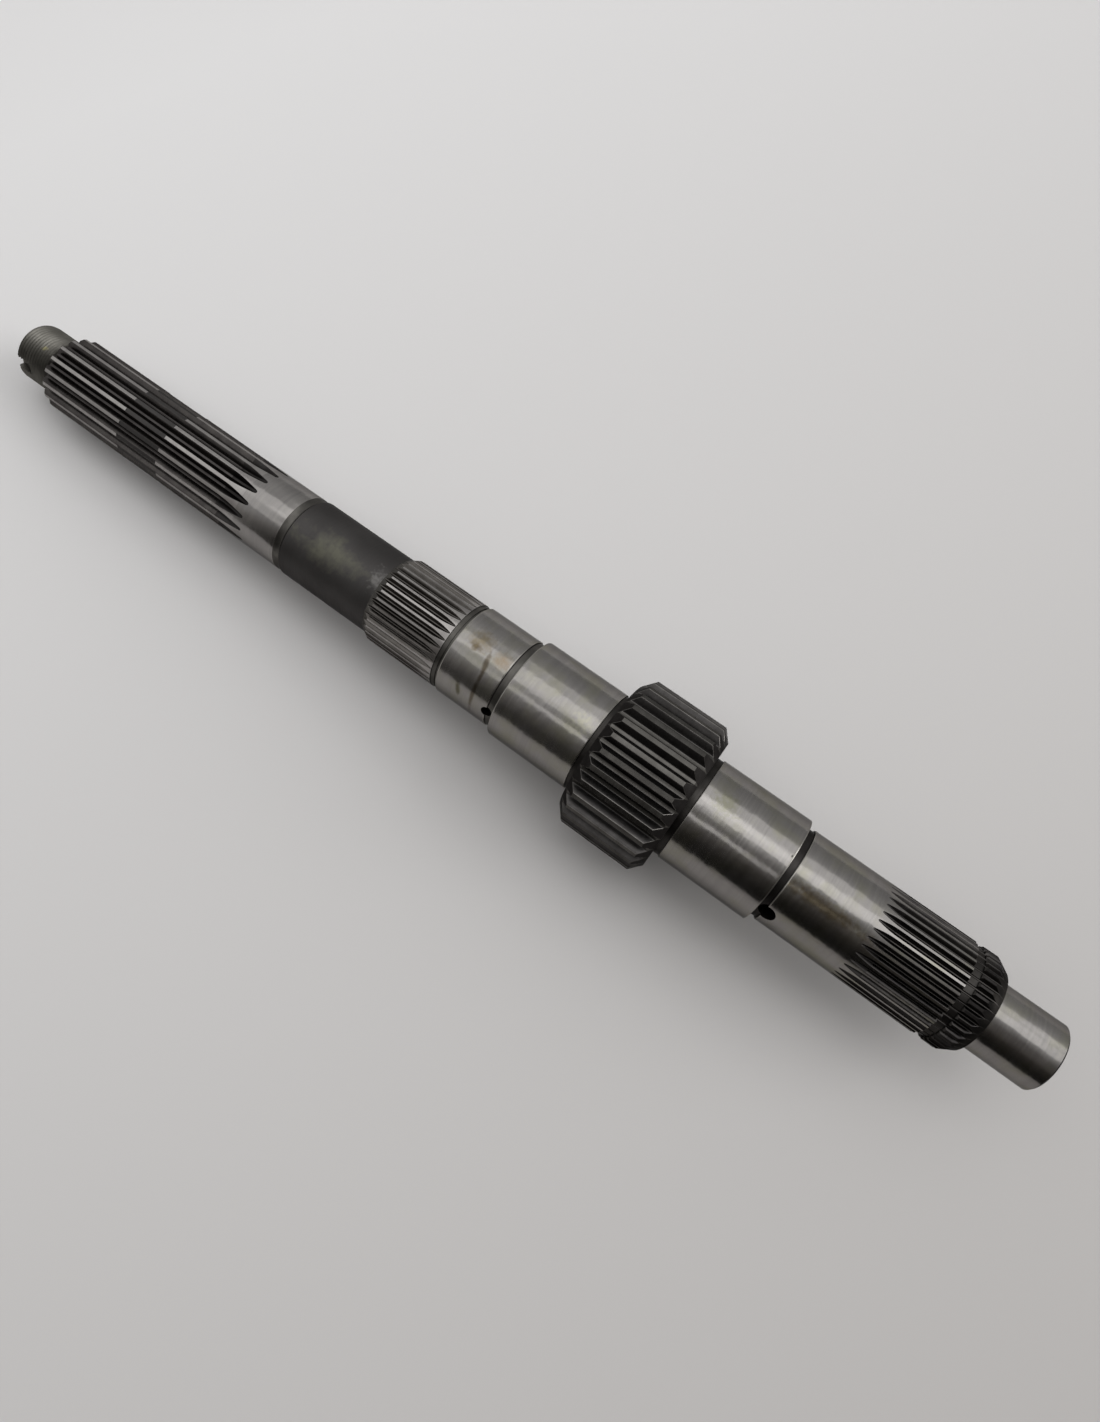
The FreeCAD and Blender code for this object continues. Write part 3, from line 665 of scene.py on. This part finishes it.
# The other finishes. Most are turned or hobbed steel left as it was, duller than the ground lengths.
finishes = {
    # Lands of the long spline, ground like the journals: brightest of all, with long narrow reflections.
    "landSteel": {
        "colour": "#9f9c99", "dark": "#938f8d", "roughness": 0.19, "markPitch": 0.8, "anisotropic": 0.65,
    },
    # Turned lengths: mid-grey, with a soft sheen drawn along the shaft.
    "turnedSteel": {
        "colour": "#5f5d59", "dark": "#504e4b", "roughness": 0.34, "markPitch": 0.5, "anisotropic": 0.3,
    },
    # Turned lengths left dark, with little sheen. The long one has a lighter olive patch in its middle,
    # partly an oily bloom and partly a painted highlight for the key light's reflection, and a scuff against
    # the fine spline.
    "darkTurnedSteel": {
        "colour": "#504e4d", "dark": "#484645", "roughness": 0.5, "markPitch": 0.6, "cloudSize": 16.0,
        "anisotropic": 0.3,
        "stains": (
            # Painted highlight on an oily bloom: this lighter olive patch stands for the key light's
            # reflection on the dark length.
            {"station": 181.6, "turn": -12.0, "length": 18.0, "sweep": 25.0, "colour": "#66655a",
             "strength": 0.85, "core": 0.1, "ragged": 0.6, "uneven": 2.6},
            {"station": 205.4, "turn": -8.0, "length": 3.4, "sweep": 17.0, "slope": -0.05,
             "colour": "#787674", "strength": 0.75, "core": 0.0, "ragged": 3.0, "uneven": 1.0},
        ),
    },
    # Bottoms and sides of the narrow necks: painted shade, dark with a weak sheen, for the shade down in the
    # necks and their corners.
    "neckShadeSteel": {
        "colour": "#403e3c", "dark": "#353331", "roughness": 0.36, "markPitch": 0.5, "anisotropic": 0.3,
    },
    # Flanks and floors of the long spline as the hob left them: dark grey, fairly smooth.
    "hobbedSteel": {
        "colour": "#4c4947", "dark": "#413e3d", "roughness": 0.26, "markPitch": 0.9, "grain": 0.6,
    },
    "hobbedFloor": {"colour": "#4f4c4b", "dark": "#454241", "roughness": 0.3, "markPitch": 0.9, "grain": 0.6},
    # The fine spline beside the dark length is smoother, and its flanks mirror one another.
    "fineFlank": {"colour": "#54514e", "dark": "#494643", "roughness": 0.17, "markPitch": 0.9, "grain": 0.6},
    # The spaces of the end spline are darker, nearly black on the flanks.
    "endFlank": {"colour": "#3d3b39", "dark": "#323030", "roughness": 0.2, "markPitch": 0.9, "grain": 0.6},
    "endFloor": {"colour": "#484543", "dark": "#3d3b39", "roughness": 0.24, "markPitch": 0.9, "grain": 0.6},
    # Where the hob lifts out, the cut is rougher and dark to its pointed end. The same dark finish is also
    # painted shade in the corners of the necks, and on the floor of the neck between the fourth and fifth
    # journals.
    "runoutAndShadeSteel": {
        "colour": "#3a3837", "dark": "#2f2d2c", "roughness": 0.36, "markPitch": 0.9, "grain": 0.6,
    },
    # Hub: lands and floors a dull grey; flanks darker, painted shade for flanks that face away from the key
    # light; end faces darker; tooth edges a little brighter, a painted highlight.
    "hubSteel": {"colour": "#595754", "dark": "#4e4c49", "roughness": 0.29, "markPitch": 0.8, "grain": 0.5},
    "hubFlankShade": {"colour": "#4c4a49", "dark": "#413f3e", "roughness": 0.36, "markPitch": 0.8, "grain": 0.5},
    "hubFace": {"colour": "#343231", "dark": "#2a2827", "roughness": 0.42, "markPitch": 0.8, "grain": 0.5},
    "hubEdgeHighlight": {"colour": "#767370", "dark": "#605e5b", "roughness": 0.34, "markPitch": 0.8, "grain": 0.5},
    # Small chamfers on the ground lengths: thin pale lines, painted lighter than the journals as a highlight
    # along the edges.
    "brokenEdgeHighlight": {"colour": "#a19e98", "dark": "#85827d", "roughness": 0.3, "markPitch": 0.7},
    # Thread: dull grey ridges, darker where they run out, and one yellowish speck.
    "threadSteel": {
        "colour": "#6b6964", "dark": "#5e5c57", "roughness": 0.46, "markPitch": 0.6, "grain": 0.4,
        "stains": (
            {"station": 22.0, "turn": 0.0, "length": 4.0, "sweep": 400.0, "colour": "#403e3b",
             "strength": 0.85, "core": 0.3},
            {"station": 13.2, "turn": -7.0, "length": 1.5, "sweep": 7.0, "slope": 0.1, "colour": "#8f8a68",
             "strength": 0.7},
        ),
    },
    # Drilled holes and the end taper: matt and almost black.
    "drilledSteel": {"colour": "#2c2a28", "dark": "#1b1a19", "roughness": 0.5, "markPitch": 0.7},
}
# The relief of the tool marks is the same for all of these, and so is that of the grain where there is one.
relief = {"strength": 0.15, "markDepth": 0.008, "grainDepth": 0.025, "markStretch": 60.0, "cloudSize": 5.0}


def markedSteel(name, sizes):
    made, tree = startMaterial(name)
    place, unrolled = shaftPlace(tree)
    marks = roundMarks(tree, unrolled, sizes["markPitch"], relief["markStretch"])
    scale = 1 / sizes.get("cloudSize", relief["cloudSize"])
    clouds = addNode(tree, "TexNoise", {"Vector": place, "Scale": scale, "Detail": 4.0}).outputs[0]
    colour = blendColours(tree, clouds, (0.35, 0.65), (sizes["dark"], sizes["colour"]))
    colour = addStains(tree, place, unrolled, colour, sizes.get("stains", ()))
    rough = addNode(tree, "MapRange", {"Value": marks, "From Min": 0.3, "From Max": 0.7,
                                       "To Min": sizes["roughness"] - 0.04,
                                       "To Max": sizes["roughness"] + 0.06})
    bump = addNode(tree, "Bump", {"Height": marks, "Strength": relief["strength"],
                                  "Distance": relief["markDepth"] * mm})
    if "grain" in sizes:
        inputs = {"Vector": place, "Scale": 1 / sizes["grain"], "Detail": 3.0}
        bump = addNode(tree, "Bump", {"Height": addNode(tree, "TexNoise", inputs).outputs[0],
                                      "Strength": relief["strength"], "Distance": relief["grainDepth"] * mm,
                                      "Normal": bump.outputs[0]})
    steelShader(tree, colour, rough.outputs[0], bump.outputs[0], sizes.get("anisotropic", 0.0))
    return made


materials = {"groundSteel": groundSteel()}
materials.update({name: markedSteel(name, sizes) for name, sizes in finishes.items()})
for item in [outputShaft] + cutters:
    for finish in finishOrder:
        item.data.materials.append(materials[finish])

# Faces that meet at more than this many degrees keep a sharp edge between them.
sharpAngle = 24
for cutter in cutters:
    modifier = outputShaft.modifiers.new(cutter.name, "BOOLEAN")
    modifier.object = cutter
    modifier.operation = "DIFFERENCE"
    modifier.solver = "EXACT"
bpy.context.view_layer.update()
evaluated = outputShaft.evaluated_get(bpy.context.evaluated_depsgraph_get())
cutMesh = bpy.data.meshes.new_from_object(evaluated)
outputShaft.modifiers.clear()
outputShaft.data = cutMesh
for cutter in cutters:
    bpy.data.objects.remove(cutter)
cutMesh.shade_smooth()
cutMesh.set_sharp_from_angle(angle=math.radians(sharpAngle))
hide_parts("output_shaft")
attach(outputShaft, "root")
print("slot and oil holes cut,", len(cutMesh.polygons), "faces")

# Pale sheet that the shaft lies on, matt. It is painted a little darker and warmer towards the pilot's end
# and -Y, as painted shade for the light falling off there.
sheet = {
    "size": 12.0, "colour": "#eae9e9", "far": "#bab7b5", "roughness": 0.75, "reach": 0.35,
    "fall": (-0.88, 0.3, 0.0),
}


def makeSheet():
    mesh = bpy.data.meshes.new("sheet")
    half = sheet["size"] / 2
    corners = [(-half, -half, 0), (half, -half, 0), (half, half, 0), (-half, half, 0)]
    mesh.from_pydata(corners, [], [(0, 1, 2, 3)])
    floor = bpy.data.objects.new("sheet", mesh)
    bpy.context.scene.collection.objects.link(floor)
    made, tree = startMaterial("mattSheet")
    place = addNode(tree, "TexCoord").outputs["Object"]
    place = addNode(tree, "VectorMath", {0: place, 1: sheet["fall"]}, operation="DOT_PRODUCT")
    place = place.outputs["Value"]
    # Painted shade: the sheet's colour darkens along fall, where the light falls off.
    colour = blendColours(tree, place, (sheet["reach"], -sheet["reach"]), (sheet["colour"], sheet["far"]))
    shader = addNode(tree, "BsdfPrincipled", {"Base Color": colour, "Roughness": sheet["roughness"]})
    addNode(tree, "OutputMaterial", {"Surface": shader.outputs[0]})
    mesh.materials.append(made)


makeSheet()

# Studio light: soft boxes over the shaft, given by their angle round it from straight up towards +Y, the
# angle each spans, and its length and shift along X in metres. Radiance is how bright each looks.
softboxes = {
    "keyLeft": {"turn": 8.0, "spread": 32.0, "length": 1.33, "shift": -1.085, "radiance": 0.6},
    "keyRight": {"turn": 12.0, "spread": 24.0, "length": 1.27, "shift": 0.215, "radiance": 1.15},
    "keyEdge": {"turn": -4.0, "spread": 8.0, "length": 0.8, "shift": -0.35, "radiance": 0.6},
    "keySpot": {"turn": 15.0, "spread": 11.0, "length": 0.24, "shift": 0.1, "radiance": 0.7},
    "sideBox": {"turn": 35.0, "spread": 21.0, "length": 1.5, "shift": 0.33, "radiance": 0.58},
    "stripLeft": {"turn": -20.0, "spread": 24.0, "length": 1.39, "shift": -1.055, "radiance": 0.45},
    "stripRight": {"turn": -25.5, "spread": 8.0, "length": 0.58, "shift": -0.07, "radiance": 1.1},
}


def addLamp(name, width, height, radiance, place, outward):
    lamp = bpy.data.lights.new(name, "AREA")
    lamp.shape = "RECTANGLE"
    lamp.size, lamp.size_y = width, height
    lamp.energy = radiance * math.pi * width * height
    made = bpy.data.objects.new(name, lamp)
    bpy.context.scene.collection.objects.link(made)
    level = Vector((-outward[1], outward[0], 0)).normalized() if outward[0] else Vector((1, 0, 0))
    turned = Matrix((level, outward.cross(level), outward)).transposed().to_4x4()
    made.matrix_world = Matrix.Translation(place) @ turned


boxDistance, shaftHeight = 1.5, 0.03
for name, box in softboxes.items():
    turn = math.radians(box["turn"])
    outward = Vector((0, math.sin(turn), math.cos(turn)))
    height = 2 * boxDistance * math.tan(math.radians(box["spread"] / 2))
    place = Vector((box["shift"], 0, shaftHeight)) + outward * boxDistance
    addLamp(name, box["length"], height, box["radiance"], place, outward)

# A large soft lamp beyond the pilot's end fills the sheet.
endFill = {"place": (3.0, 1.4, 1.8), "size": 2.2, "radiance": 4.0}
place = Vector(endFill["place"])
addLamp("endFill", endFill["size"], endFill["size"], endFill["radiance"], place, place.normalized())

# The room: its -Y side is dim, more so towards the pilot's end, and lets the near side of the shaft go dark.
room = {
    "bright": ((0.0, "#656361"), (0.05, "#6c6a68"), (0.15, "#aaa8a6"), (0.217, "#cbcbcb"), (0.85, "#cbcbcb"),
               (0.91, "#bababa"), (0.955, "#aeaeae"), (1.0, "#a2a2a2")),
    "dim": ((0.0, "#191817"), (0.05, "#232220"), (0.15, "#43403c"), (0.217, "#696663"), (0.35, "#7c7a78"),
            (0.5, "#cbcbcb"), (0.85, "#cbcbcb"), (0.91, "#bababa"), (0.955, "#aeaeae"), (1.0, "#a2a2a2")),
    "dimFrom": -0.55, "dimTo": 0.1, "wall": "#d6d4d3",
}
world = bpy.data.worlds.new("room")
bpy.context.scene.world = world
world.use_nodes = True
air = world.node_tree
air.nodes.clear()
sides = addNode(air, "SeparateXYZ", {0: addNode(air, "TexCoord").outputs["Generated"]}).outputs
share = addNode(air, "MapRange", {"Value": sides[1], "From Min": -1.0, "From Max": 1.0}).outputs[0]
shades = [addNode(air, "ValToRGB", {0: share}, stops=room[name]).outputs[0] for name in ("bright", "dim")]
shade = blendColours(air, sides[0], (room["dimFrom"], room["dimTo"]), shades)
# Where the camera looks straight at the room, past the sheet's end, it is a plain pale wall.
seen = addNode(air, "LightPath").outputs["Is Camera Ray"]
shade = blendColours(air, seen, (0.0, 1.0), (shade, room["wall"]))
background = addNode(air, "Background", {"Color": shade, "Strength": 1.0})
addNode(air, "OutputWorld", {"Surface": background.outputs[0]})

# Camera above the shaft on the -Y side, where the photograph was taken from.
view = {"place": (84.3206, -92.9346, 368.4786), "turn": (16.90756, -2.84652, 36.61034), "lens": 29.126}
camera = bpy.data.objects.new("camera", bpy.data.cameras.new("camera"))
bpy.context.scene.collection.objects.link(camera)
camera.data.sensor_fit = "HORIZONTAL"
camera.data.sensor_width = 36.0
camera.data.lens = view["lens"]
camera.location = [value * mm for value in view["place"]]
camera.rotation_euler = [math.radians(value) for value in view["turn"]]
bpy.context.scene.camera = camera
bpy.context.scene.view_settings.view_transform = "Standard"
print("lights and camera set")
